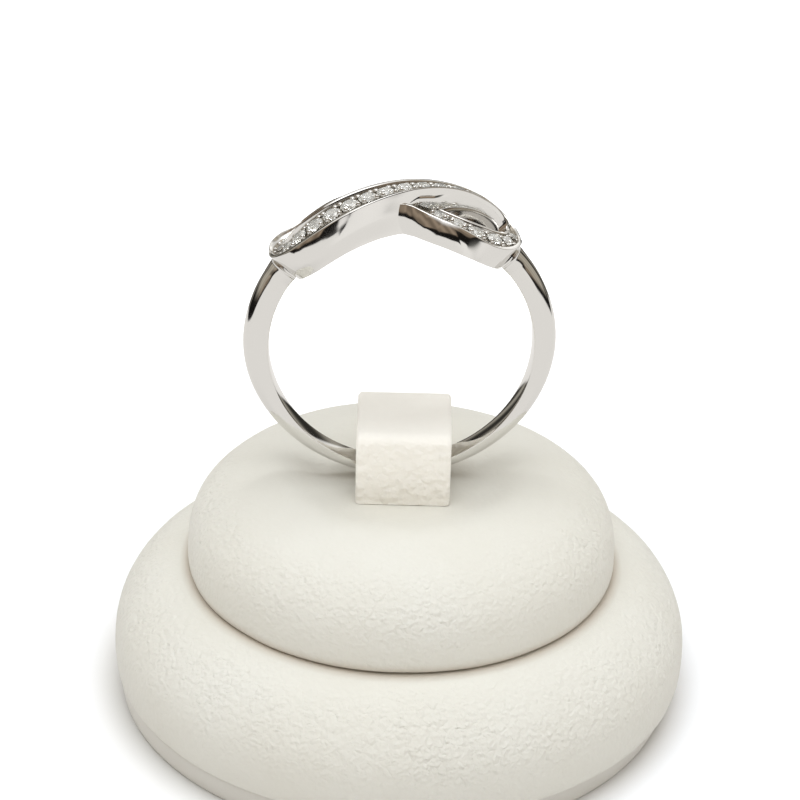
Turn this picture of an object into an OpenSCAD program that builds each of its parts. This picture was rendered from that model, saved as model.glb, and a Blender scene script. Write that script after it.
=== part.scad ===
// Infinity ring with pave-set stones, held by a leatherette clip on a round
// two-tier display stand. Millimetres, Z up, the stand's base centre at the origin.
// The ring's hole runs front to back along Y, and the viewer stands at -Y.

/* [Ring] */
// Diameter of the finger hole
finger_d = 17.3; // [16.6:0.1:18]
// Turn of the ring in its own plane, as it leans in the clip, degrees
ring_turn = 3.2; // [0:0.1:6]
// Turn of the ring about an upright line, as it stands in the clip, degrees
ring_swing = 3.2; // [0:0.1:4]
// Distance of the ring's middle to the left of the stand's axis
ring_shift = 0.33; // [0:0.01:0.6]
// Width of the shank at the bottom
shank_w_low = 1.6; // [1.4:0.05:1.9]
// Width of the shank where it meets the head
shank_w_top = 2.1; // [1.8:0.05:2.4]
// Thickness of the shank at the bottom
shank_t_low = 0.84; // [0.75:0.01:0.95]
// Thickness of the shank at the shoulders
shank_t_top = 1.5; // [1.2:0.05:1.6]

/* [Head] */
// Half angle from the head's middle to the loops' outer tips, degrees
tip_angle = 48.8; // [47:0.1:51]
// Half angle from the head's middle to the far end of each eye, degrees
eye_angle = 42; // [41:0.1:43.5]
// Half the depth of the ribbon at the crossing, front to back
waist_y = 1.72; // [1.5:0.02:1.9]
// How far the loops swing front and back about the waist
swing_y = 1.74; // [1.5:0.02:1.9]
// Height of the rim over the finger hole at the tips
tip_rise = 1.94; // [1.7:0.02:2.1]
// Height of the rim over the finger hole at the ends of the eyes
eye_rise = 1.72; // [1.6:0.02:1.9]
// How far the outer walls spread towards the finger
wall_flare = 0.7; // [0.4:0.02:0.8]
// Width of the bright rims along the stone channel
rim_w = 0.26; // [0.2:0.02:0.34]
// Depth of the stone channel below the rims
channel_d = 0.2; // [0.14:0.02:0.26]

/* [Stones] */
// Diameter of the largest stones
stone_d_max = 1.2; // [1:0.02:1.25]
// Diameter of the smallest stones, at the tips
stone_d_min = 0.6; // [0.5:0.02:0.7]
// Clear space between neighbouring stones
stone_gap = 0.08; // [0.05:0.01:0.15]
// Clearance between a stone and its seat
seat_gap = 0.03; // [0.02:0.01:0.05]

/* [Clip] */
// Width of the clip, side to side
clip_w = 6.2; // [5:0.1:7]
// Front face of the clip, from the ring's plane
clip_front = 3.97; // [3.6:0.05:4.2]
// Back face of the clip, from the ring's plane
clip_back = 2.9; // [2.3:0.05:3.3]
// Top of the clip above the base
clip_top = 20.4; // [19.6:0.1:21]
// Thickness of the padded strap
clip_wall = 1.1; // [0.9:0.05:1.2]

/* [Stand] */
// Radius of the base plate at the floor
base_r = 19; // [18:0.1:19.3]
// Thickness of the base plate
base_h = 1.9; // [1.5:0.05:2.2]
// Widest radius of the lower pad
lower_r = 19.68; // [19.5:0.02:20.5]
// Widest radius of the upper pad
upper_r = 14.52; // [14:0.02:15]
// Height of the seam between the two pads
tier_z = 9.12; // [8.9:0.02:9.4]
// Height that the upper pad's crown would reach without its dish
crown_z = 16.17; // [16:0.01:16.3]
// Height of the dish in the upper pad's middle
dish_z = 15.3; // [15.1:0.01:15.4]

/* [Hidden] */
finger_r = finger_d / 2;
// Room between the shank and the dish it stands in, taken up by the clip's fold
ring_lift = 0.33;
// Height of the ring's centre over the floor
ring_z = dish_z + ring_lift + shank_t_low + finger_r;
joint_gap = 0.05;

// Mean half angle of a ribbon's two rims, and half their difference at a tip
mid_angle = (tip_angle + eye_angle) / 2;
tip_step = (tip_angle - eye_angle) / 2;

// Rise of each ribbon's front rim between its ends, as four cosine weights
high_rise = [0.62, -1.03, 0.16, -0.08];
low_rise = [-1.18, 0.59, -0.75, 0.36];

ribbon_steps = 44;
shank_steps = 60;
// Where the shank's ends are buried in the loops' tips, degrees from the top
shank_end = 46.8;
// Depths of the wall's points, as shares of the wall's height
wall_shares = [1, 0.7, 0.42, 0.18];

metal = "Gainsboro";
crystal = "AliceBlue";
hide = "Linen";

// Point at an angle from the top, a depth along Y and a radius
function on_ring(a, y, r) = [r * sin(a), y, r * cos(a)];

function smooth(x) = let (k = max(0, min(1, x))) k * k * (3 - 2 * k);
function unit(v) = v / norm(v);

// Front rim of a ribbon at t = 0 (left) to 180 (right).
// low = 0 gives the high ribbon and low = 1 the ribbon that passes under it.
function rim_angle(t, low) = -mid_angle * cos(t) + (low == 1 ? tip_step : -tip_step);
function rim_y(t, low) = -waist_y * sin(t) + (low == 1 ? 1 : -1) * swing_y * sin(2 * t);
function weights(low) = low == 1 ? low_rise : high_rise;
function bump(t, w) = w[0] + w[1] * cos(t) + w[2] * cos(2 * t) + w[3] * cos(3 * t);
function end_rise(t, low) =
    let (k = (1 - cos(t)) / 2, a = low == 1 ? eye_rise : tip_rise, b = low == 1 ? tip_rise : eye_rise)
    a + (b - a) * k;
function rim_r(t, low) = finger_r + end_rise(t, low) + pow(sin(t), 2) * bump(t, weights(low));

// Outward direction of the front rim in the unrolled plan, as [along, across]
function rim_out(t, low) =
    let (
        run = mid_angle * sin(t) * PI / 180 * rim_r(t, low),
        rise = -waist_y * cos(t) + (low == 1 ? 2 : -2) * swing_y * cos(2 * t)
    )
    unit([rise, -run]);

// Share of the flare: full on a loop's outside and none inside an eye
function flare_at(t, low) = low == 1 ? smooth((t - 70) / 50) : smooth((110 - t) / 50);

// Point on the front wall at share q of its height, from the rim (0) to the finger (1)
function wall_point(t, low, q) =
    let (
        spread = wall_flare * flare_at(t, low) * (1 - pow(1 - q, 2)),
        o = rim_out(t, low),
        r = rim_r(t, low),
        a = rim_angle(t, low) + spread * o[0] / r * 180 / PI
    )
    on_ring(a, rim_y(t, low) + spread * o[1], r + (finger_r - r) * q);

// Half a turn about Z carries each ribbon's front rim to its own back rim
function half_turn(p) = [-p[0], -p[1], p[2]];
function front_rim(t, low) = wall_point(t, low, 0);
function back_rim(t, low) = half_turn(front_rim(180 - t, low));
function ribbon_mid(t, low) = (front_rim(t, low) + back_rim(t, low)) / 2;
function ribbon_run(t, low) = unit(ribbon_mid(t + 0.5, low) - ribbon_mid(t - 0.5, low));
function ribbon_up(t, low) = unit(cross(ribbon_run(t, low), back_rim(t, low) - front_rim(t, low)));
// Width of the ribbon square to its run
function ribbon_w(t, low) = norm(cross(ribbon_run(t, low), back_rim(t, low) - front_rim(t, low)));

// One section of a ribbon: front wall, channel between the rims, back wall
function ribbon_section(t, low) =
    let (
        f = front_rim(t, low),
        b = back_rim(t, low),
        k = rim_w / ribbon_w(t, low),
        down = -channel_d * ribbon_up(t, low)
    )
    concat(
        [for (q = wall_shares) wall_point(t, low, q)],
        [f, f + (b - f) * k, f + (b - f) * k + down, b + (f - b) * k + down, b + (f - b) * k, b],
        [for (i = [len(wall_shares) - 1:-1:0]) half_turn(wall_point(180 - t, low, wall_shares[i]))]
    );

// Skin of a tube through equal sections, closed at both ends
module loft(sections) {
    n = len(sections[0]);
    m = len(sections);
    points = [for (s = sections) each s];
    sides = [for (j = [0:m - 2], i = [0:n - 1]) let (k = (i + 1) % n)
        each [[j * n + i, j * n + k, (j + 1) * n + k], [j * n + i, (j + 1) * n + k, (j + 1) * n + i]]];
    caps = [[for (i = [n - 1:-1:0]) i], [for (i = [0:n - 1]) (m - 1) * n + i]];
    polyhedron(points = points, faces = concat(sides, caps), convexity = 8);
}

module ribbon(low) {
    loft([for (i = [0:ribbon_steps]) ribbon_section(180 * i / ribbon_steps, low)]);
}

// Shank: flat inside, rounded outside, wider and thicker towards the head
function shank_share(a) = smooth((a - 15) / 85);
function shank_t(a) = shank_t_low + (shank_t_top - shank_t_low) * shank_share(a);
function shank_w(a) = shank_w_low + (shank_w_top - shank_w_low) * smooth((a - 60) / 70);
// Half section as [share of the half width, share of the thickness]
shank_half = [[1, 0], [1, 0.42], [0.9, 0.66], [0.68, 0.85], [0.36, 0.96]];
function shank_section(a) =
    let (w = shank_w(abs(a)) / 2, h = shank_t(abs(a)))
    concat(
        [for (p = shank_half) on_ring(180 - a, p[0] * w, finger_r + p[1] * h)],
        [on_ring(180 - a, 0, finger_r + h)],
        [for (i = [len(shank_half) - 1:-1:0])
            on_ring(180 - a, -shank_half[i][0] * w, finger_r + shank_half[i][1] * h)]
    );

module shank() {
    reach = 180 - shank_end;
    loft([for (i = [0:shank_steps]) shank_section(2 * reach * i / shank_steps - reach)]);
}

// Stones: places along each ribbon by length, counted from the crossing
function stone_d(t, low) = max(stone_d_min, min(stone_d_max, 0.49 * ribbon_w(t, low)));
function path_step(t, low) = norm(ribbon_mid(t + 1, low) - ribbon_mid(t, low));
function path_table(low) = [for (t = 90, s = 0; t <= 180; s = s + path_step(t, low), t = t + 1) [s, t]];
high_path = path_table(0);
low_path = path_table(1);
function t_at(s, low) = lookup(s, low == 1 ? low_path : high_path);
function path_end(path) = path[len(path) - 1][0];

// Distances of the stones of half a ribbon, from first out to the tip
function stone_run(s, low, last) =
    let (d = stone_d(t_at(s, low), low), next = s + d + stone_gap)
    s > last ? [] : concat([s], stone_run(next, low, last));
half_pitch = (stone_d_max + stone_gap) / 2;
high_first = half_pitch;
// The high ribbon covers the low one up to this distance
low_first = 3.05;
// Bare metal kept at the far end of each ribbon
end_room = 0.75;
high_last = path_end(high_path) - end_room;
low_last = path_end(low_path) - end_room;
high_run = stone_run(high_first, 0, high_last);
low_run = stone_run(low_first, 1, low_last);
half_places = concat(
    [for (s = high_run) [t_at(s, 0), 0]],
    [for (s = low_run) [t_at(s, 1), 1]],
    [[180, 0]]
);
// Each place as [t, low]; the left half is the right half turned about Z
stone_places = concat(half_places, [for (p = half_places) [180 - p[0], p[1]]]);
stone_count = len(stone_places);
function stone_name(i) = str("stone_", i < 10 ? "0" : "", i);

// Round brilliant of diameter 1: girdle at z = 0, table up, culet down
table_r = 0.29;
crown_h = 0.155;
girdle_r = 0.5;
girdle_h = 0.03;
pavilion_h = 0.43;
// Outer corners of the crown's kites, and the share of the crown's height they stand at
kite_r = 0.405;
kite_rise = 0.56;
// Lower ends of the pavilion's long facets, and their share of its depth
long_facet_r = 0.125;
long_facet_drop = 0.79;
function ring_points(n, r, z, turn) = [for (i = [0:n - 1])
    [r * cos(360 * (i + turn) / n), r * sin(360 * (i + turn) / n), z]];
module brilliant(d) {
    points = concat(
        ring_points(8, table_r, crown_h + girdle_h / 2, 0.5),
        ring_points(8, kite_r, crown_h * kite_rise + girdle_h / 2, 0),
        ring_points(16, girdle_r, girdle_h / 2, 0),
        ring_points(16, girdle_r, -girdle_h / 2, 0),
        ring_points(8, long_facet_r, -pavilion_h * long_facet_drop, 0.5),
        [[0, 0, -pavilion_h]]
    );
    scale(d) hull() polyhedron(points = points, faces = [for (i = [0:len(points) - 3]) [i, i + 1, i + 2]]);
}

// Carries a child made about the origin, Z up, onto a ribbon's channel
module on_ribbon(t, low, lift) {
    up = ribbon_up(t, low);
    run = ribbon_run(t, low);
    side = cross(up, run);
    p = ribbon_mid(t, low) + lift * up;
    multmatrix([
        [run[0], side[0], up[0], p[0]],
        [run[1], side[1], up[1], p[1]],
        [run[2], side[2], up[2], p[2]],
        [0, 0, 0, 1]
    ]) children();
}

module on_finger() {
    translate([-ring_shift, 0, ring_z]) rotate([0, 0, ring_swing]) rotate([0, -ring_turn, 0]) children();
}

// Height of a stone's girdle over the line of the rims
girdle_lift = -0.1;

module stone(i) {
    place = stone_places[i - 1];
    color(crystal) on_finger() on_ribbon(place[0], place[1], girdle_lift)
        brilliant(stone_d(place[0], place[1]));
}

// Room cut for a stone: a cone under its girdle and a straight bore over it
seat_tip_r = 0.02;
seat_bore_h = 1;
module seat(place) {
    d = stone_d(place[0], place[1]);
    r = d / 2 + seat_gap;
    depth = pavilion_h * d * (1 + 2 * seat_gap / d) + seat_gap;
    on_ribbon(place[0], place[1], girdle_lift) {
        translate([0, 0, -depth]) cylinder(h = depth, r1 = seat_tip_r, r2 = r, $fn = 16);
        cylinder(h = seat_bore_h, r = r, $fn = 16);
    }
}

// Ring metal: ribbons and shank soldered into one solid, with a seat under each stone.
// The resize changes no size and gives the metal one closed skin.
module ring() {
    color(metal) on_finger() resize([0, 0, 0]) difference() {
        union() {
            ribbon(0);
            ribbon(1);
            shank();
        }
        for (p = stone_places) seat(p);
    }
}

// Clip: a padded strap folded over the shank, both legs standing on the pad
fold_r = 0.7;
leg_z = dish_z + joint_gap;
module strap_outline(front, back, top, r) {
    w = front + back;
    h = top - leg_z;
    translate([-front, leg_z]) difference() {
        square([w, h]);
        translate([0, h - r]) difference() {
            square([r, r]);
            translate([r, 0]) circle(r, $fn = 64);
        }
        translate([w - r, h - r]) difference() {
            square([r, r]);
            circle(r, $fn = 64);
        }
    }
}
module clip() {
    color(hide) rotate([90, 0, 90]) translate([0, 0, -clip_w / 2])
        linear_extrude(clip_w) difference() {
            strap_outline(clip_front, clip_back, clip_top, fold_r);
            strap_outline(clip_front - clip_wall, clip_back - clip_wall, clip_top - clip_wall, fold_r / 2);
        }
}

// Pads: profiles with a superellipse corner, turned about Z
pad_steps = 26;
// Point of a corner from [r1, z0] at q = 0 to [r0, z1] at q = 90
function corner(q, r0, r1, z0, z1, n) =
    [r0 + (r1 - r0) * pow(cos(q), 2 / n), z0 + (z1 - z0) * pow(sin(q), 2 / n)];
// Radius of the same corner at a height
function corner_r(z, r0, r1, z0, z1, n) = r0 + (r1 - r0) * pow(1 - pow((z - z0) / (z1 - z0), n), 1 / n);
function dished(p, r0, r1) = [p[0], dish_z + (p[1] - dish_z) * smooth((p[0] - r0) / (r1 - r0))];

upper_bottom_z = tier_z + joint_gap;
upper_widest_z = upper_bottom_z + 0.15;
upper_foot_r = upper_r - 0.25;
upper_power = 3.3;
dish_flat_r = 5.3;
dish_rim_r = 9;
module upper_pad() {
    side = [for (i = [0:pad_steps])
        corner(90 * i / pad_steps, 0, upper_r, upper_widest_z, crown_z, upper_power)];
    color(hide) rotate_extrude($fn = 96) polygon(concat(
        [[0, upper_bottom_z], [upper_foot_r, upper_bottom_z]],
        [for (p = side) dished(p, dish_flat_r, dish_rim_r)]
    ));
}

lower_bottom_z = base_h + joint_gap;
lower_widest_z = lower_bottom_z + 1.15;
lower_foot_r = lower_r - 0.1;
lower_crown_z = tier_z + 0.83;
lower_corner_r = 7.45;
lower_power = 2.5;
module lower_pad() {
    side = [for (i = [0:pad_steps])
        corner(90 * i / pad_steps, lower_corner_r, lower_r, lower_widest_z, lower_crown_z, lower_power)];
    top_r = corner_r(tier_z, lower_corner_r, lower_r, lower_widest_z, lower_crown_z, lower_power);
    color(hide) rotate_extrude($fn = 96) polygon(concat(
        [[0, lower_bottom_z], [lower_foot_r, lower_bottom_z]],
        [for (p = side) if (p[1] < tier_z) p],
        [[top_r, tier_z], [0, tier_z]]
    ));
}

base_flare = 0.35;
module base_plate() {
    color(hide) cylinder(h = base_h, r1 = base_r, r2 = base_r + base_flare, $fn = 96);
}

ring();
clip();
upper_pad();
lower_pad();
base_plate();
for (i = [1:stone_count]) stone(i);
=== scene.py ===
import math

import bpy
import numpy as np
from mathutils import Matrix, Vector, noise


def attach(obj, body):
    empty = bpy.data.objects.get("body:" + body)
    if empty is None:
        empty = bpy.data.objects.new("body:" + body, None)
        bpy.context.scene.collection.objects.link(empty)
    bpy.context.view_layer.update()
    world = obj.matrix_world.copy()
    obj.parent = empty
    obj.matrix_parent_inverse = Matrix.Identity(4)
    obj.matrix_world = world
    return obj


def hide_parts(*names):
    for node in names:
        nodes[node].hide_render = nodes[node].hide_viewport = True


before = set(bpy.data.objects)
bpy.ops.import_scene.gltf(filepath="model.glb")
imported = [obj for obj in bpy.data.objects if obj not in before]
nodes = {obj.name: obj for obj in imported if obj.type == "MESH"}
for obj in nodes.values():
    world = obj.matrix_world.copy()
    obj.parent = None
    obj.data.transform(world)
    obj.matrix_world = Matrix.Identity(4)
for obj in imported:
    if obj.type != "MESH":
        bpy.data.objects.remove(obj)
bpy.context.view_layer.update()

MM = 0.001
scene = bpy.context.scene
rad = np.radians


# Camera, at the photograph's place and angle

cam_data = bpy.data.cameras.new("camera")
cam_data.sensor_width = 36.0
cam_data.lens = 95.354
cam_data.clip_start = 0.01
cam_data.clip_end = 5.0
camera = bpy.data.objects.new("camera", cam_data)
scene.collection.objects.link(camera)
CAM_PITCH = 62.701
CAM_ROLL = 1.35
camera.matrix_world = (
    Matrix.Translation(Vector((-0.315, -124.435, 85.278)) * MM)
    @ Matrix.Rotation(math.radians(CAM_PITCH), 4, "X")
    @ Matrix.Rotation(math.radians(CAM_ROLL), 4, "Z")
)
scene.camera = camera


# Sizes of the ring, the stand and the clip, the same as the solids' (millimetres and degrees)

FINGER_R = 8.65
RING_TURN, RING_SWING, RING_SHIFT, RING_LIFT = 3.2, 3.2, 0.33, 0.33
SHANK_W_LOW, SHANK_W_TOP = 1.6, 2.1
SHANK_T_LOW, SHANK_T_TOP = 0.84, 1.5
SHANK_END = 46.8
TIP_ANGLE, EYE_ANGLE = 48.8, 42.0
WAIST_Y, SWING_Y = 1.72, 1.74
TIP_RISE, EYE_RISE = 1.94, 1.72
WALL_FLARE, CHANNEL_D = 0.7, 0.2
STONE_MAX, STONE_MIN, STONE_SHARE = 1.2, 0.6, 0.49
STONE_GAP, SEAT_GAP = 0.08, 0.03
LOW_FIRST, END_ROOM = 3.05, 0.75
GIRDLE_LIFT, PAVILION = -0.1, 0.43
LOWER_R, UPPER_R, BASE_H, JOINT_GAP = 19.68, 14.52, 1.9, 0.05
DISH_Z, TIER_Z, CROWN_Z = 15.3, 9.12, 16.17
DISH_FLAT_R, DISH_SLOPE = 5.3, 3.7
CLIP_W, CLIP_FRONT, CLIP_BACK, CLIP_TOP = 6.2, 3.97, 2.9, 20.4
CLIP_WALL, FOLD_R = 1.1, 0.7
RING_Z = DISH_Z + RING_LIFT + SHANK_T_LOW + FINGER_R
MID_ANGLE, TIP_STEP = (TIP_ANGLE + EYE_ANGLE) / 2, (TIP_ANGLE - EYE_ANGLE) / 2
# Waves of the high and the low ribbon's rise
RISE = ((0.62, -1.03, 0.16, -0.08), (-1.18, 0.59, -0.75, 0.36))

# Sizes of the scene's own, with more detail than the solids have
RIM_W, RIM_REAR, RIM_SHARE = 0.28, 0.42, 0.2
SLOPE_W, RIM_DROP = 0.12, 0.02


def smooth(x):
    k = np.clip(x, 0, 1)
    return k * k * (3 - 2 * k)


def unit(v):
    return v / np.linalg.norm(v, axis=-1, keepdims=True)


def on_ring(a, y, r):
    a = rad(a)
    return np.stack(np.broadcast_arrays(r * np.sin(a), y, r * np.cos(a)), -1)


# A front rim's angle, place across the finger and radius at t, which runs from 0 at the
# ribbon's left end to 180 at its right; low is 0 for the high ribbon and 1 for the low one


def rim_angle(t, low):
    return -MID_ANGLE * np.cos(rad(t)) + (TIP_STEP if low else -TIP_STEP)


def rim_y(t, low):
    return -WAIST_Y * np.sin(rad(t)) + (1 if low else -1) * SWING_Y * np.sin(rad(2 * t))


def rim_r(t, low):
    k = (1 - np.cos(rad(t))) / 2
    a, b = (EYE_RISE, TIP_RISE) if low else (TIP_RISE, EYE_RISE)
    w = RISE[low]
    wave = sum(w[i] * np.cos(rad(i * t)) for i in range(4))
    return FINGER_R + a + (b - a) * k + np.sin(rad(t)) ** 2 * wave


def rim_out(t, low):
    """Direction in which the wall under the rim spreads."""
    run = MID_ANGLE * np.sin(rad(t)) * np.pi / 180 * rim_r(t, low)
    rise = -WAIST_Y * np.cos(rad(t)) + (2 if low else -2) * SWING_Y * np.cos(rad(2 * t))
    return unit(np.stack([rise, -run], -1))


# Share of the walls' spread along each ribbon, and how far their feet are tucked in
# (t, value; the high ribbon first, then the low one)
FLARE_SHARE = (((0, 14, 30, 44, 180), (0.25, 0.3, 0.75, 1, 1)),
               ((0, 60, 90, 100, 122, 136, 152, 180), (0.05, 0.3, 0.75, 1, 1, 0.68, 0.4, 0.3)))
FOOT_TUCK = (((0, 20, 34, 66, 84, 93, 97, 180), (0, 0.05, 0.25, 0.42, 0.3, 0.12, 0, 0)),
             ((0, 82, 88, 96, 106, 180), (0, 0, 0.18, 0.2, 0, 0)))
TUCK_FROM = 0.42
# Where each ribbon's wall stops bulging: start and length in t
STRAIGHT_FROM = ((56, 18), (114, 16))
INSET_D = 0.12


def wall_point(t, low, q, inset=0.0, lift=0.0):
    """Point of a front wall: q is 0 at the rim and 1 at the finger."""
    t = np.asarray(t, float)
    share = np.interp(t, *FLARE_SHARE[low]) * (1 - inset)
    # the wall bulges where the ribbon swings forward and runs straight elsewhere
    start, length = STRAIGHT_FROM[low]
    plain = smooth((t - start) / length)
    spread = WALL_FLARE * share * (q + (1 - plain) * q * (1 - q)) - INSET_D * inset
    spread = spread - np.interp(t, *FOOT_TUCK[low]) * smooth((q - TUCK_FROM) / (1 - TUCK_FROM))
    o, r = rim_out(t, low), rim_r(t, low) + lift
    a = rim_angle(t, low) + spread * o[..., 0] / r * 180 / np.pi
    return on_ring(a, rim_y(t, low) + spread * o[..., 1], r + (FINGER_R - r) * q)


HALF_TURN = np.array([-1, -1, 1])


def front_rim(t, low):
    return wall_point(t, low, 0)


def back_rim(t, low):
    return HALF_TURN * front_rim(180 - np.asarray(t, float), low)


def ribbon_frame(t, low):
    """Middle, run, up, side and width of a ribbon's channel at t."""
    t = np.asarray(t, float)
    mid = lambda s: (front_rim(s, low) + back_rim(s, low)) / 2
    run = unit(mid(t + 0.5) - mid(t - 0.5))
    over = back_rim(t, low) - front_rim(t, low)
    c = np.cross(run, over)
    up = unit(c)
    return mid(t), run, up, np.cross(up, run), np.linalg.norm(c, axis=-1)


def stone_d(t, low):
    return max(STONE_MIN, min(STONE_MAX, STONE_SHARE * float(ribbon_frame(t, low)[4])))


def stone_places():
    """Each stone as (t, low), in the order of the nodes' numbers."""
    places = []
    for low, first in ((0, (STONE_MAX + STONE_GAP) / 2), (1, LOW_FIRST)):
        ts = np.arange(90, 181)
        m = ribbon_frame(ts, low)[0]
        s = np.concatenate([[0], np.cumsum(np.linalg.norm(np.diff(m, axis=0), axis=1))])
        at = first
        while at <= s[-1] - END_ROOM:
            t = float(np.interp(at, s, ts))
            places.append((t, low))
            at += stone_d(t, low) + STONE_GAP
    places.append((180.0, 0))
    return places + [(180 - t, low) for t, low in places]


PLACES = stone_places()
swing, turn = math.radians(RING_SWING), math.radians(-RING_TURN)
ON_FINGER = (
    Matrix.Translation((-RING_SHIFT, 0, RING_Z))
    @ Matrix.Rotation(swing, 4, "Z")
    @ Matrix.Rotation(turn, 4, "Y")
)
PLACE = np.array(ON_FINGER)


def to_world(p):
    p = np.asarray(p, float).reshape(-1, 3)
    return (p @ PLACE[:3, :3].T + PLACE[:3, 3]) * MM


# Mesh helpers


def grid_faces(n, m, closed, offset=0):
    """Quads of a grid of n rows of m points; closed joins each row's ends."""
    j, i = np.meshgrid(np.arange(n - 1), np.arange(m if closed else m - 1), indexing="ij")
    k = (i + 1) % m
    q = np.stack([j * m + i, (j + 1) * m + i, (j + 1) * m + k, j * m + k], -1).reshape(-1, 4)
    return (q + offset).tolist()


def new_object(name, verts, faces, sharp=40.0):
    mesh = bpy.data.meshes.new(name)
    mesh.from_pydata([tuple(v) for v in np.asarray(verts).tolist()], [], faces)
    mesh.update()
    mesh.validate()
    mesh.polygons.foreach_set("use_smooth", [True] * len(mesh.polygons))
    mesh.set_sharp_from_angle(angle=math.radians(sharp))
    obj = bpy.data.objects.new(name, mesh)
    scene.collection.objects.link(obj)
    return obj


class Parts:
    """Collects several closed skins into one mesh."""

    def __init__(self):
        self.verts, self.faces, self.count = [], [], 0

    def add(self, verts, faces):
        verts = np.asarray(verts, float).reshape(-1, 3)
        self.verts.append(verts)
        self.faces += [[i + self.count for i in f] for f in faces]
        self.count += len(verts)

    def tube(self, rows):
        n, m = rows.shape[:2]
        faces = grid_faces(n, m, True)
        faces += [list(range(m)), [(n - 1) * m + i for i in range(m - 1, -1, -1)]]
        self.add(rows, faces)


# Ring metal


def channel_height(p, low):
    """Height of the channel's floor under the rims, with a seat sunk for each stone."""
    h = np.full(p.shape[:2], -CHANNEL_D)
    for t, l in PLACES:
        if l != low:
            continue
        c, run, up, side, _ = ribbon_frame(t, low)
        r = stone_d(t, low) / 2 + SEAT_GAP
        v = p - c
        dist = np.hypot(v @ run, v @ side)
        near = np.abs(v @ up) < 1.5
        cone = GIRDLE_LIFT - SEAT_GAP - 2 * PAVILION * (r - dist)
        h = np.where(near & (dist < r), np.minimum(h, cone), h)
    return h


def rim_width(w, rear):
    return np.minimum((RIM_W, RIM_REAR)[rear], RIM_SHARE * w)


def ribbon_rows(low, steps=400):
    """Closed sections along a ribbon, and a mark on the points of its channel."""
    # the steps are shorter near the ribbon's ends
    t = 90 - 90 * np.cos(np.pi * np.arange(steps + 1) / steps)
    t = 0.5 * t + 0.5 * np.linspace(0, 180, steps + 1)
    _, _, up, _, w = ribbon_frame(t, low)
    f, b = front_rim(t, low), back_rim(t, low)
    front = ribbon_front_rows(t, low)
    # the back half is the front half of the ribbon's other end, turned about Z
    back = [HALF_TURN * r for r in ribbon_front_rows(180 - t, low, True)]
    inner = np.linspace(0, 1, 34)
    fore, aft = (rim_width(w, k)[:, None] for k in (0, 1))
    span = w[:, None] - fore - aft
    u = (fore + span * inner) / w[:, None]
    p = f[:, None] + (b - f)[:, None] * u[..., None]
    h = channel_height(p, low)
    # the floor slopes up to the rims and ends a hair under them
    edge = np.minimum(inner, 1 - inner) * span
    slope = smooth(edge / SLOPE_W)
    h = h * slope - RIM_DROP * (1 - slope)
    floor = p + h[..., None] * up[:, None]
    recess = np.zeros((len(t), len(front) + floor.shape[1] + len(back)))
    recess[:, len(front) + 1:len(front) + floor.shape[1] - 1] = 1
    return np.concatenate([np.stack(front, 1), floor, np.stack(back, 1)[:, ::-1]], 1), recess


# How far the front and rear rims are drawn up above the stones (t, millimetres)
LIFTS = (((0, 20, 40, 84, 96, 102, 138, 150, 164, 180),
          (0, 0.05, 0.12, 0.12, 0.16, 0.2, 0.2, 0.3, 0.3, 0.1)),
         ((0, 60, 84, 90, 93, 96, 100, 106, 180), (0, 0.1, 0.45, 0.48, 0.4, 0.25, 0.1, 0, 0)))
REAR_LIFTS = (((0, 12, 50, 70, 110, 135, 150, 165, 180), (0.02, 0.03, 0.03, 0, 0, 0.04, 0.09, 0.05, 0)),
              ((0, 140, 156, 170, 180), (0, 0.05, 0.15, 0.13, 0.07)))
# Depth of the high ribbon's edge band, under which its wall steps back to leave the eye open
BAND = ((0, 97.6, 98.9, 100.2, 102.3, 104.5, 112, 118, 129, 158, 180),
        (1.04, 1.04, 0.87, 0.67, 0.54, 0.42, 0.48, 0.36, 0.26, 0.24, 0.24))
EYE_START, EYE_STEP, EYE_SHARE = 96.3, 1.4, 0.7
GROOVE_END, GROOVE_FADE, GROOVE_SHARE = 126, 16, 0.55
# Points up the wall from the finger to the band, each with its share of the groove
WALL_STEPS = ((1, 0), (0.86, 0), (0.7, 0), (0.55, 0), (0.4, 0), (0.25, 0), (0.15, 0),
              (0.11, 0.1), (0.02, 1))


def ribbon_front_rows(t, low, rear=False):
    """Wall and rim of a ribbon's front half, from the finger up to the rim's inner edge."""
    lift = np.interp(t, *(REAR_LIFTS if rear else LIFTS)[low])
    f, b = wall_point(t, low, 0, 0.0, lift), back_rim(t, low)
    _, _, up, _, w = ribbon_frame(t, low)
    at_u = lambda mm: f + (b - f) * (mm / w)[:, None]
    # the rim's rounding starts further down on the rear, which has a softer edge
    top = 0.14 if rear else 0.03
    if low:
        rows = [wall_point(t, low, q, 0.0, lift) for q in np.linspace(1, top, 12)]
    else:
        band = np.interp(t, *BAND) / (rim_r(t, low) - FINGER_R)
        start = smooth((t - EYE_START) / EYE_STEP)
        inset = EYE_SHARE * start
        groove = GROOVE_SHARE * start * smooth((GROOVE_END - t) / GROOVE_FADE)
        rows = [wall_point(t, low, band + (1 - band) * k, inset + groove * g, lift)
                for k, g in WALL_STEPS]
        rows += [wall_point(t, low, top + (band - top) * k, 0.0, lift) for k in (1, 0.75, 0.5, 0.25, 0)]
    wide = rim_width(w, rear)
    # the rear rim is level where it rises, and drops steeply to the stones
    level = lift[:, None] * up * (1 if rear else 0)
    a, c = rows[-1], at_u(wide * (0.6 if rear else 0.14)) + level
    rows += [(1 - k) ** 2 * a + 2 * k * (1 - k) * f + k * k * c for k in (0.2, 0.4, 0.6, 0.8)]
    rows += [c, at_u(wide * 0.8) + 0.012 * up + level, at_u(wide - 0.02)]
    return rows


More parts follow.
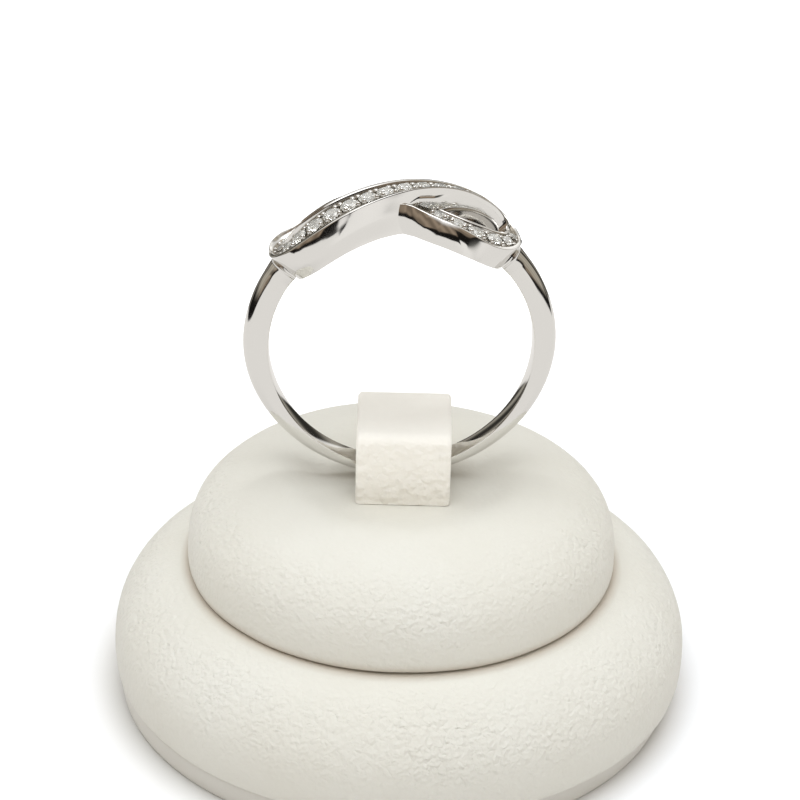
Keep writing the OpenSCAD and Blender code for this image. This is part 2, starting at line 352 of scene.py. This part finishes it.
# Half of the shank's section, from the finger outward, as shares of its half width and thickness
HALF_SECTION = ((0.93, 0.0), (0.95, 0.004), (0.97, 0.012), (0.985, 0.028), (0.995, 0.05), (1, 0.08),
                (1, 0.25), (1, 0.42), (0.985, 0.5), (0.95, 0.58), (0.9, 0.66), (0.8, 0.76),
                (0.68, 0.85), (0.53, 0.915), (0.36, 0.96), (0.18, 0.99))
INNER_DOME = 0.05
# The shank ends a little short of the solid's, and flares where it meets the head (degrees)
SHORTER, COLLAR = 1.9, 8
COLLAR_FLARE, COLLAR_T = 0.2, 0.05
# A fine solder line lies just before each end
SEAM_BACK, SEAM_W, SEAM_H = 1.1, 0.45, 0.06


def shank_rows(steps=220):
    """Closed sections along the shank, narrow and thin at the bottom."""
    reach = 180 - SHANK_END - SHORTER
    fine = reach - np.linspace(0, 6, 60)
    a = np.unique(np.concatenate([np.linspace(-reach, reach, steps + 1), fine, -fine]))
    h = SHANK_T_LOW + (SHANK_T_TOP - SHANK_T_LOW) * smooth((abs(a) - 15) / 85)
    w = (SHANK_W_LOW + (SHANK_W_TOP - SHANK_W_LOW) * smooth((abs(a) - 60) / 70)) / 2
    collar = smooth((abs(a) - reach + COLLAR) / COLLAR)
    w, h = w * (1 + COLLAR_FLARE * collar), h + COLLAR_T * collar
    ridge = SEAM_H * np.exp(-((abs(a) - reach + SEAM_BACK) / SEAM_W) ** 2)
    w, h = w + ridge, h + ridge
    rows = [on_ring(180 - a, p * w, FINGER_R + q * h) for p, q in HALF_SECTION]
    rows.append(on_ring(180 - a, 0, FINGER_R + h))
    rows += [on_ring(180 - a, -p * w, FINGER_R + q * h) for p, q in HALF_SECTION[::-1]]
    rows += [on_ring(180 - a, -k * w, FINGER_R - INNER_DOME * (1 - k * k))
             for k in (0.8, 0.6, 0.4, 0.2, 0, -0.2, -0.4, -0.6, -0.8)]
    return np.stack(rows, 1)


# Beads: how far each is rooted in the metal, its radius and heights as shares of the stone's
# width, the narrowest stone with tall beads, and how far inside the stone's edge each stands
BEAD_ROOT, BEAD_R, BEAD_TALL, BEAD_LOW, BEAD_STONE, BEAD_IN = 0.3, 0.18, 0.24, 0.1, 0.95, 0.04
# How far the rim reaches out past the end stone on the left
TIP_REACH = 0.22


def dome(c, up, run, side, r, tall):
    """A small raised bead of metal."""
    segs, rings = 12, 6
    verts = []
    for j in range(rings):
        e = math.pi / 2 * j / rings
        k, z = math.cos(e), math.sin(e)
        for i in range(segs):
            a = 2 * math.pi * i / segs
            verts.append(c + (run * math.cos(a) + side * math.sin(a)) * r * k + up * tall * z)
    base = [v - up * BEAD_ROOT for v in verts[:segs]]
    verts = base + verts + [c + up * tall]
    faces = grid_faces(rings + 1, segs, True)
    top = (rings + 1) * segs
    last = rings * segs
    faces += [[last + i, top, last + (i + 1) % segs] for i in range(segs)]
    faces.append(list(range(segs)))
    return verts, faces


ring = Parts()
recess = []
for low in (0, 1):
    rows, hollow = ribbon_rows(low)
    ring.tube(rows)
    recess.append(hollow.ravel())
ring.tube(shank_rows())
# four beads hold each stone, and the tall ones stand where they don't break the outline
for t, low in PLACES:
    c, run, up, side, w = ribbon_frame(t, low)
    d = stone_d(t, low)
    across = min(d / 2 - BEAD_IN, float(w) / 2 - RIM_W - 0.05)
    along = math.sqrt(max(0.02, (d / 2 + SEAT_GAP) ** 2 - across ** 2)) + 0.12 * d
    for a in (1, -1):
        for b in (1, -1):
            p = c + run * a * min(along, d / 2 - BEAD_IN) + side * b * across + up * GIRDLE_LIFT
            stands = b < 0 and d > BEAD_STONE and (low or 25 < t < 112)
            tall = (BEAD_TALL if stands else BEAD_LOW) * d
            ring.add(*dome(p, up, run, side, BEAD_R * min(1, d), tall))
skin = np.concatenate(ring.verts)
past = smooth((-skin[:, 0] - 6.6) / 1.2) * smooth((np.hypot(skin[:, 0], skin[:, 2]) - 9.6) / 0.9)
skin[:, 0] -= TIP_REACH * past
ring_obj = new_object("ring_metal", to_world(skin), ring.faces, 38)
recess = np.concatenate(recess)
recess = np.concatenate([recess, np.zeros(len(skin) - len(recess))])
ring_obj.data.attributes.new("recess", "FLOAT", "POINT").data.foreach_set("value", recess)
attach(ring_obj, "root")
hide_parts("ring")


# Pads, turned about Z from a profile, then pushed in and out a little as stuffed hide is


def corner(q, r0, r1, z0, z1, n):
    q = rad(q)
    return r0 + (r1 - r0) * np.cos(q) ** (2 / n), z0 + (z1 - z0) * np.sin(q) ** (2 / n)


def resample(pts, step):
    pts = np.asarray(pts, float)
    s = np.concatenate([[0], np.cumsum(np.linalg.norm(np.diff(pts, axis=0), axis=1))])
    k = np.linspace(0, s[-1], int(s[-1] / step) + 2)
    return np.stack([np.interp(k, s, pts[:, 0]), np.interp(k, s, pts[:, 1])], 1)


def turned(name, profile, segs, uneven, seed):
    """A closed skin turned about Z; the profile runs from the underside's middle to the top's."""
    pts = np.asarray(profile, float)
    a = 2 * np.pi * np.arange(segs) / segs
    rings = pts[1:-1]
    tan = np.gradient(pts, axis=0)[1:-1]
    normal = unit(np.stack([tan[:, 1], -tan[:, 0]], 1))
    verts = [(0, 0, pts[0, 1])]
    for (r, z), (nr, nz) in zip(rings, normal):
        for x, y in zip(np.cos(a), np.sin(a)):
            p = Vector((r * x, r * y, z))
            k = uneven * noise.noise(p * 0.16 + Vector((seed, 0, 0)))
            k += 0.35 * uneven * noise.noise(p * 0.5 + Vector((0, seed, 0)))
            k *= min(1, r / 4)
            verts.append(((r + nr * k) * x, (r + nr * k) * y, z + nz * k))
    verts.append((0, 0, pts[-1, 1]))
    n = len(rings)
    faces = [[0, 1 + (i + 1) % segs, 1 + i] for i in range(segs)]
    faces += [f[::-1] for f in grid_faces(n, segs, True, 1)]
    last = 1 + (n - 1) * segs
    faces += [[last + i, last + (i + 1) % segs, len(verts) - 1] for i in range(segs)]
    return new_object(name, np.array(verts) * MM, faces, 60)


q = np.linspace(0, 90, 140)
UNEVEN = 0.05
ub = TIER_Z + JOINT_GAP
r, z = corner(q, 0, UPPER_R, ub + 0.15, CROWN_Z, 3.3)
# the top sinks into a shallow dish
dip = smooth((r - DISH_FLAT_R) / DISH_SLOPE)
side = np.stack([r, DISH_Z + (z - DISH_Z) * dip], 1)
foot = [(0, ub), (10, ub), (14.15, ub), (14.3, ub + 0.03), (14.42, ub + 0.12), (14.49, ub + 0.3)]
side = side[side[:, 1] > ub + 0.5]
upper = turned("upper_pad_skin", resample(np.concatenate([foot, side]), 0.22), 288, UNEVEN, 3.1)
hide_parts("upper_pad")

lb = BASE_H + JOINT_GAP
r, z = corner(q, 7.45, LOWER_R, lb + 1.15, TIER_Z + 0.83, 2.5)
side = np.stack([r, z], 1)
side = side[side[:, 1] < TIER_Z]
# the hide is tucked under in a soft roll
foot = [(0, lb), (12, lb), (19.2, lb), (19.36, lb - 0.1), (19.48, lb - 0.11), (19.57, lb + 0.03),
        (19.63, lb + 0.3), (19.66, lb + 0.7)]
lid_z = TIER_Z - 0.01
lid = [(side[-1, 0] - 0.15, lid_z), (8, lid_z), (0, lid_z)]
lower = turned("lower_pad_skin", resample(np.concatenate([foot, side, lid]), 0.26), 320, UNEVEN, 7.7)
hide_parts("lower_pad")

# the plate sits a little to the left
PLATE_LEFT = 0.25
plate_profile = [(0, 0), (18.8, 0), (18.98, 0.04), (19.05, 0.15), (19.1, 0.5), (19.18, 1.3),
                 (19.2, 1.65), (19.16, 1.82), (19.0, BASE_H), (10, BASE_H), (0, BASE_H)]
plate = turned("base_skin", resample(plate_profile, 0.15), 256, 0.0, 1.0)
plate.data.transform(Matrix.Translation((-PLATE_LEFT * MM, 0, 0)))
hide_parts("base_plate")


# Clip: a padded strap, folded over the shank


def fold_path(front, back, top, r, bottom, steps=14):
    a = np.linspace(0, np.pi / 2, steps)
    up = [(-front, bottom + (top - r - bottom) * k) for k in np.linspace(0, 1, 40)[:-1]]
    f1 = [(-front + r - r * math.cos(k), top - r + r * math.sin(k)) for k in a]
    over = [(-front + r + (front + back - 2 * r) * k, top) for k in np.linspace(0, 1, 40)[1:-1]]
    f2 = [(back - r + r * math.sin(k), top - r + r * math.cos(k)) for k in a]
    down = [(back, top - r - (top - r - bottom) * k) for k in np.linspace(0, 1, 40)[1:]]
    return np.array(up + f1 + over + f2 + down)


def clip_mesh():
    """Rows round the strap's section, with rounded edges, from its front foot over to the rear."""
    bottom = DISH_Z + JOINT_GAP
    out = fold_path(CLIP_FRONT, CLIP_BACK, CLIP_TOP, FOLD_R, bottom)
    inn = fold_path(CLIP_FRONT - CLIP_WALL, CLIP_BACK - CLIP_WALL, CLIP_TOP - CLIP_WALL, FOLD_R / 2, bottom)
    n = len(out)
    rx, rv = 0.3, 0.26
    w = CLIP_W / 2
    corner_x = [w - rx + rx * math.sin(rad(k)) for k in np.linspace(0, 90, 6)]
    corner_v = [rv - rv * math.cos(rad(k)) for k in np.linspace(0, 90, 6)]
    flat = list(np.linspace(-(w - rx), w - rx, 30))
    loop = [(x, 0.0) for x in flat[:-1]]
    loop += list(zip(corner_x, corner_v))
    loop += list(zip(corner_x[::-1], [1 - v for v in corner_v[::-1]]))
    loop += [(x, 1.0) for x in flat[::-1][1:-1]]
    loop += [(-x, 1 - v) for x, v in zip(corner_x, corner_v)]
    loop += [(-x, v) for x, v in zip(corner_x[::-1], corner_v[::-1])][:-1]
    rows = np.zeros((n, len(loop), 3))
    for i in range(n):
        # it widens a little to the rear
        wide = 1 + 0.012 * (out[i, 0] + CLIP_FRONT) / 6.9
        for j, (x, v) in enumerate(loop):
            y, z = inn[i] + (out[i] - inn[i]) * v
            rows[i, j] = (x * wide, y, z)
    return rows


clip_part = Parts()
clip_part.tube(clip_mesh())
clip = new_object("clip_skin", np.concatenate(clip_part.verts) * MM, clip_part.faces, 60)
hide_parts("clip")

for obj, slot in ((upper, "leatherette"), (lower, "leatherette"), (clip, "leatherette"),
                  (plate, "base_wrap")):
    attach(obj, "root")


# Materials


def material(name):
    mat = bpy.data.materials.new(name)
    mat.use_nodes = True
    tree = mat.node_tree
    bsdf = tree.nodes["Principled BSDF"]
    return mat, tree, bsdf


def add(tree, kind, **inputs):
    node = tree.nodes.new(kind)
    for k, v in inputs.items():
        node.inputs[k.replace("_", " ")].default_value = v
    return node


def ramp(tree, fac, stops):
    node = tree.nodes.new("ShaderNodeValToRGB")
    while len(node.color_ramp.elements) < len(stops):
        node.color_ramp.elements.new(0.5)
    for e, (pos, col) in zip(node.color_ramp.elements, stops):
        e.position = pos
        e.color = (*col, 1)
    tree.links.new(fac, node.inputs["Fac"])
    return node


metal, tree, bsdf = material("white_metal")
bsdf.inputs["Metallic"].default_value = 1.0
hollow = tree.nodes.new("ShaderNodeAttribute")
hollow.attribute_name = "recess"
# the floor between the stones is rougher, and its colour is darkened to a brown as painted shade; the rest
# is polished
shade = ramp(tree, hollow.outputs["Fac"], [(0.0, (0.76, 0.75, 0.73)), (1.0, (0.36, 0.33, 0.28))])
tree.links.new(shade.outputs["Color"], bsdf.inputs["Base Color"])
coord = tree.nodes.new("ShaderNodeTexCoord")
n1 = add(tree, "ShaderNodeTexNoise", Scale=900.0, Detail=4.0, Roughness=0.6)
tree.links.new(coord.outputs["Object"], n1.inputs["Vector"])
r1 = ramp(tree, n1.outputs["Fac"], [(0.3, (0.05,) * 3), (0.7, (0.1,) * 3)])
dull = add(tree, "ShaderNodeMath")
dull.operation = "MULTIPLY_ADD"
tree.links.new(hollow.outputs["Fac"], dull.inputs[0])
dull.inputs[1].default_value = 0.35
tree.links.new(r1.outputs["Color"], dull.inputs[2])
tree.links.new(dull.outputs[0], bsdf.inputs["Roughness"])
n2 = add(tree, "ShaderNodeTexNoise", Scale=260.0, Detail=3.0, Roughness=0.5)
tree.links.new(coord.outputs["Object"], n2.inputs["Vector"])
bump = add(tree, "ShaderNodeBump", Strength=0.02, Distance=0.00002)
tree.links.new(n2.outputs["Fac"], bump.inputs["Height"])
tree.links.new(bump.outputs["Normal"], bsdf.inputs["Normal"])
ring_obj.data.materials.append(metal)

crystal, tree, bsdf = material("stone")
bsdf.inputs["Base Color"].default_value = (0.96, 0.945, 0.89, 1)
bsdf.inputs["Roughness"].default_value = 0.01
bsdf.inputs["IOR"].default_value = 1.9
bsdf.inputs["Transmission Weight"].default_value = 0.72
for i in range(len(PLACES)):
    o = nodes["stone_%02d" % (i + 1)]
    o.data.materials.clear()
    o.data.materials.append(crystal)


# Where the upper pad's edge meets the lower pad: the middle of the painted shade round that seam (metres)
SEAM_SHADE_R, SEAM_SHADE_Z = 0.0145, 0.00915


def hide_material(name, grain, light, dark, pebble=2900.0, fold=0.2,
                  stretch=((0.0, 0.55), (0.3, 0.9), (0.8, 1), (0.96, 0.35), (1, 0.2))):
    """Leatherette: fine pebbles and short creases on the stretched slopes, smoother on top."""
    mat, tree, bsdf = material(name)
    link = tree.links.new
    coord = tree.nodes.new("ShaderNodeTexCoord")
    place = coord.outputs["Object"]

    def noisy(scale, detail=3.0, vector=None):
        n = add(tree, "ShaderNodeTexNoise", Scale=scale, Detail=detail)
        link(vector or place, n.inputs["Vector"])
        return n

    def maths(op, a, b):
        n = tree.nodes.new("ShaderNodeMath")
        n.operation = op
        for i, v in enumerate((a, b)):
            if isinstance(v, (int, float)):
                n.inputs[i].default_value = v
            else:
                link(v, n.inputs[i])
        return n.outputs[0]

    warp = tree.nodes.new("ShaderNodeVectorMath")
    warp.operation = "MULTIPLY_ADD"
    warp.inputs[1].default_value = (0.0005,) * 3
    link(noisy(1500.0, 2.0).outputs["Color"], warp.inputs[0])
    link(place, warp.inputs[2])
    # round pebbles of uneven size, with a few short creases between them
    folds = noisy(700.0, 3.0, warp.outputs["Vector"])
    crease = ramp(tree, folds.outputs["Fac"], [(0.46, (1, 1, 1)), (0.5, (0, 0, 0)), (0.54, (1, 1, 1))])
    cells = add(tree, "ShaderNodeTexVoronoi", Scale=pebble)
    cells.feature = "SMOOTH_F1"
    cells.inputs["Smoothness"].default_value = 0.35
    link(warp.outputs["Vector"], cells.inputs["Vector"])
    height = maths("SUBTRACT", maths("MULTIPLY", crease.outputs["Color"], fold),
                   maths("MULTIPLY", cells.outputs["Distance"], 0.9))
    height = maths("ADD", height, maths("MULTIPLY", noisy(0.75 * pebble, 3.0).outputs["Fac"], 1.3))
    # the hide is stretched smooth on the level tops and near the upright foot
    geo = tree.nodes.new("ShaderNodeNewGeometry")
    split = tree.nodes.new("ShaderNodeSeparateXYZ")
    link(geo.outputs["Normal"], split.inputs[0])
    slope = ramp(tree, split.outputs["Z"], [(z, (k,) * 3) for z, k in stretch])
    patch = ramp(tree, noisy(140.0).outputs["Fac"], [(0.35, (0.6,) * 3), (0.65, (1.0,) * 3)])
    b1 = add(tree, "ShaderNodeBump", Distance=0.0001)
    where = maths("MULTIPLY", slope.outputs["Color"], patch.outputs["Color"])
    link(maths("MULTIPLY", where, grain), b1.inputs["Strength"])
    link(height, b1.inputs["Height"])
    link(b1.outputs["Normal"], bsdf.inputs["Normal"])
    tone = ramp(tree, noisy(110.0, 4.0).outputs["Fac"], [(0.3, dark), (0.7, light)])
    # painted shade: a brownish band where the edge of the upper pad meets the lower one, standing in for
    # the shadow under that edge
    spot = tree.nodes.new("ShaderNodeSeparateXYZ")
    link(place, spot.inputs[0])
    flat = tree.nodes.new("ShaderNodeCombineXYZ")
    link(spot.outputs["X"], flat.inputs["X"])
    link(spot.outputs["Y"], flat.inputs["Y"])
    size = tree.nodes.new("ShaderNodeVectorMath")
    size.operation = "LENGTH"
    link(flat.outputs[0], size.inputs[0])
    away = maths("ADD", maths("ABSOLUTE", maths("SUBTRACT", size.outputs["Value"], SEAM_SHADE_R), 0),
                 maths("ABSOLUTE", maths("SUBTRACT", spot.outputs["Z"], SEAM_SHADE_Z), 0))
    stops = [(0.0, (0.6,) * 3), (0.35, (0.25,) * 3), (0.8, (0,) * 3)]
    near = ramp(tree, maths("MULTIPLY", away, 1 / MM), stops)
    mix = tree.nodes.new("ShaderNodeMix")
    mix.data_type = "RGBA"
    link(near.outputs["Color"], mix.inputs["Factor"])
    link(tone.outputs["Color"], mix.inputs["A"])
    mix.inputs["B"].default_value = (0.44, 0.35, 0.26, 1)
    link(mix.outputs["Result"], bsdf.inputs["Base Color"])
    bsdf.inputs["Roughness"].default_value = 0.6
    bsdf.inputs["Specular IOR Level"].default_value = 0.18
    bsdf.inputs["Sheen Weight"].default_value = 0.08
    bsdf.inputs["Sheen Roughness"].default_value = 0.5
    return mat


hide = hide_material("leatherette", 1.0, (0.70, 0.683, 0.615), (0.675, 0.653, 0.578))
wrap = hide_material("base_wrap", 0.3, (0.68, 0.66, 0.605), (0.65, 0.625, 0.565))
# the strap is the pads' leatherette painted much lighter, a painted lift that offsets the shade falling on
# it under the ring's head; its grain is coarser and strongest on the upright faces
strap = hide_material("strap", 1.7, (0.94, 0.91, 0.835), (0.91, 0.88, 0.80), 1900.0, 0.06,
                      ((0.0, 1), (0.35, 0.8), (0.7, 0.35), (1, 0.2)))
for o in (upper, lower):
    o.data.materials.append(hide)
clip.data.materials.append(strap)
plate.data.materials.append(wrap)


# Floor, lights and reflectors


def glow_material(name):
    """Emission in the colours of the mesh's glow attribute."""
    mat = bpy.data.materials.new(name)
    mat.use_nodes = True
    t = mat.node_tree
    t.nodes.clear()
    e = add(t, "ShaderNodeEmission", Strength=1.0)
    n = t.nodes.new("ShaderNodeAttribute")
    n.attribute_name = "glow"
    t.links.new(n.outputs["Color"], e.inputs["Color"])
    o = t.nodes.new("ShaderNodeOutputMaterial")
    t.links.new(e.outputs[0], o.inputs["Surface"])
    return mat


corners = np.array([[-1, -1, 0], [1, -1, 0], [1, 1, 0], [-1, 1, 0]]) * 1.5
floor = new_object("floor", corners, [[0, 1, 2, 3]])
floor_mat, tree, bsdf = material("floor")
coord = tree.nodes.new("ShaderNodeTexCoord")
# distance from the base's middle in decimetres, leaned a little to the left
lean = tree.nodes.new("ShaderNodeVectorMath")
lean.inputs[1].default_value = (0.0009, 0.0003, 0)
tree.links.new(coord.outputs["Object"], lean.inputs[0])
far = tree.nodes.new("ShaderNodeVectorMath")
far.operation = "LENGTH"
tree.links.new(lean.outputs[0], far.inputs[0])
reach = add(tree, "ShaderNodeMath")
reach.operation = "MULTIPLY"
tree.links.new(far.outputs["Value"], reach.inputs[0])
reach.inputs[1].default_value = 10.0
# painted shade round the base, a soft contact shadow a little darker on the left, and a painted glow that
# brightens the floor further out
near = ramp(tree, reach.outputs[0], [(0.185, (0.72, 0.71, 0.68)), (0.2, (0.85, 0.84, 0.82)),
                                     (0.215, (0.9,) * 3), (0.25, (0.93,) * 3)])
tree.links.new(near.outputs["Color"], bsdf.inputs["Base Color"])
floor_glow = ramp(tree, reach.outputs[0], [(0.27, (0,) * 3), (0.7, (0.5,) * 3)])
tree.links.new(floor_glow.outputs["Color"], bsdf.inputs["Emission Strength"])
bsdf.inputs["Emission Color"].default_value = (1, 1, 1, 1)
bsdf.inputs["Roughness"].default_value = 0.8
bsdf.inputs["Specular IOR Level"].default_value = 0.1
floor.data.materials.append(floor_mat)

world = bpy.data.worlds.new("studio")
scene.world = world
world.use_nodes = True
world.node_tree.nodes["Background"].inputs["Color"].default_value = (1, 0.935, 0.87, 1)
world.node_tree.nodes["Background"].inputs["Strength"].default_value = 0.48


def panel(name, place, aim, size, power, color):
    data = bpy.data.lights.new(name, "AREA")
    data.shape = "RECTANGLE"
    data.size, data.size_y = size[0] * MM, size[1] * MM
    data.energy = power
    data.color = color
    o = bpy.data.objects.new(name, data)
    scene.collection.objects.link(o)
    o.location = Vector(place) * MM
    o.rotation_euler = (Vector(aim) * MM - o.location).to_track_quat("-Z", "Y").to_euler()
    return o


for name, place, size, power in (("key_light", (0, -50, 320), (330, 290), 0.9),
                                 ("back_light", (-20, 50, 300), (300, 20), 0.13)):
    key = panel(name, place, (0, 0, 12), size, power, (0.94, 0.995, 1.06))
    key.visible_glossy = False


def studio_glow(az, el):
    """Light that the polished metal sees; azimuth 0 is the front, + is right (degrees)."""
    rgb = lambda *c: np.array(c)
    step = lambda x, a, b: smooth((x - a) / (b - a))[..., None]
    # upper edge of the white table and screen, all the way round
    edge = np.interp(az, (-180, -150, -125, -104, -75, -68, -61, -54, -48, -40, -30, -20, -10, 5, 16,
                          20, 22, 24, 27, 35, 41, 45, 50, 54, 61, 70, 86, 112, 131, 150, 180),
                     (-17, -17, -13, -15, -14, -12, -4, 4, 10, 15, 20.5, 26.5, 29, 29, 28,
                      24, 21, 34, 33, 26, 18, 12, 9, 5, -5, -5, -8, -14, -10, -15, -17))
    # depth of the black band over it, and how softly it starts
    black = np.interp(az, (-180, -110, -80, -60, -43, -27, -14, 0, 20, 30, 40, 60, 75, 120, 180),
                      (4, 10, 9, 5, 6, 7, 11, 15, 18, 25, 30, 8, 5, 6, 4))
    soft = np.interp(az, (40, 45, 52, 60, 74), (1.2, 6, 6, 3, 2))
    # height over the edge; the white is a little brighter in one place on the right
    h = el - edge
    c = rgb(0.92, 0.90, 0.87) + 0 * az[..., None]
    spot = np.exp(-((az - 36) / 20) ** 2 - ((el - 18) / 18) ** 2)[..., None]
    c = c + 0.1 * spot
    # the room over the black band, warm in front and tan at the sides
    streak = 0.5 + 0.5 * np.sin(rad(18 * az + 50 * np.sin(rad(5 * el)) + 5 * el))[..., None]
    warm = rgb(0.27, 0.21, 0.155) * (0.7 + 0.6 * streak)
    tan = rgb(0.46, 0.42, 0.35) * (0.85 + 0.3 * streak)
    room = warm * (1 - step(abs(az), 60, 95)) + tan * step(abs(az), 60, 95)
    # the black is lifted to grey in one place on the right
    grey = rgb(0.27, 0.268, 0.25) * np.exp(-((az - 50) / 7) ** 2 - ((el - 6) / 12) ** 2)[..., None]
    k = smooth((h + 0.5 * soft) / (1.5 * soft))[..., None]
    c = c * (1 - k) + (rgb(0.010, 0.009, 0.008) + grey) * k
    k = smooth((h - black) / np.interp(abs(az), (60, 80), (4, 9)))[..., None]
    c = c * (1 - k) + room * k
    # behind the ring: a low dark wall, with the bright sky over it
    behind = step(abs(az), 116, 132)
    low = rgb(0.15, 0.14, 0.12) * (0.2 + 2.2 * streak ** 2)
    k = step(h, -0.7, 1.5) * behind
    c = c * (1 - k) + low * k
    shade = np.interp(az, (-180, -165, -153, -146, -138, -116, 116, 150, 165, 180),
                      (16, 15, 19, 24, 24, 8, 8, 8, 10, 16))
    k = smooth((el - shade) / 4)[..., None] * behind
    sky = 0.85 + 0.5 * np.exp(-((el - 24) / 10) ** 2)[..., None]
    c = c * (1 - k) + rgb(1, 0.985, 0.95) * sky * (0.8 + 0.25 * streak) * k
    # the lamp overhead
    k = step(el, 58, 70)
    c = c * (1 - k) + rgb(1, 1, 1) * (1.1 + 2.4 * step(el, 68, 76)) * k
    return c * (1 - 0.15 * step(-el, 35, 75))


def reflector(radius, mat_name, cols=480, rows=240):
    """A dome round the scene, seen only in reflections and through the stones."""
    az, el = np.meshgrid(np.linspace(-180, 180, cols + 1)[:-1], np.linspace(-89, 89, rows + 1))
    a, e = rad(az), rad(el)
    pts = np.stack([np.cos(e) * np.sin(a), -np.cos(e) * np.cos(a), np.sin(e)], -1) * radius
    pts[..., 2] += 30
    o = new_object("studio_dome", pts.reshape(-1, 3) * MM, grid_faces(rows + 1, cols, True), 180)
    glow = studio_glow(az, el).reshape(-1, 3)
    attr = o.data.color_attributes.new("glow", "FLOAT_COLOR", "POINT")
    attr.data.foreach_set("color", np.concatenate([glow, np.ones((len(glow), 1))], 1).ravel())
    o.data.materials.append(glow_material(mat_name))
    o.visible_camera = o.visible_diffuse = o.visible_shadow = o.visible_volume_scatter = False


reflector(600, "studio_glow")
floor.visible_glossy = floor.visible_transmission = False

scene.view_settings.view_transform = "Standard"
scene.view_settings.look = "None"
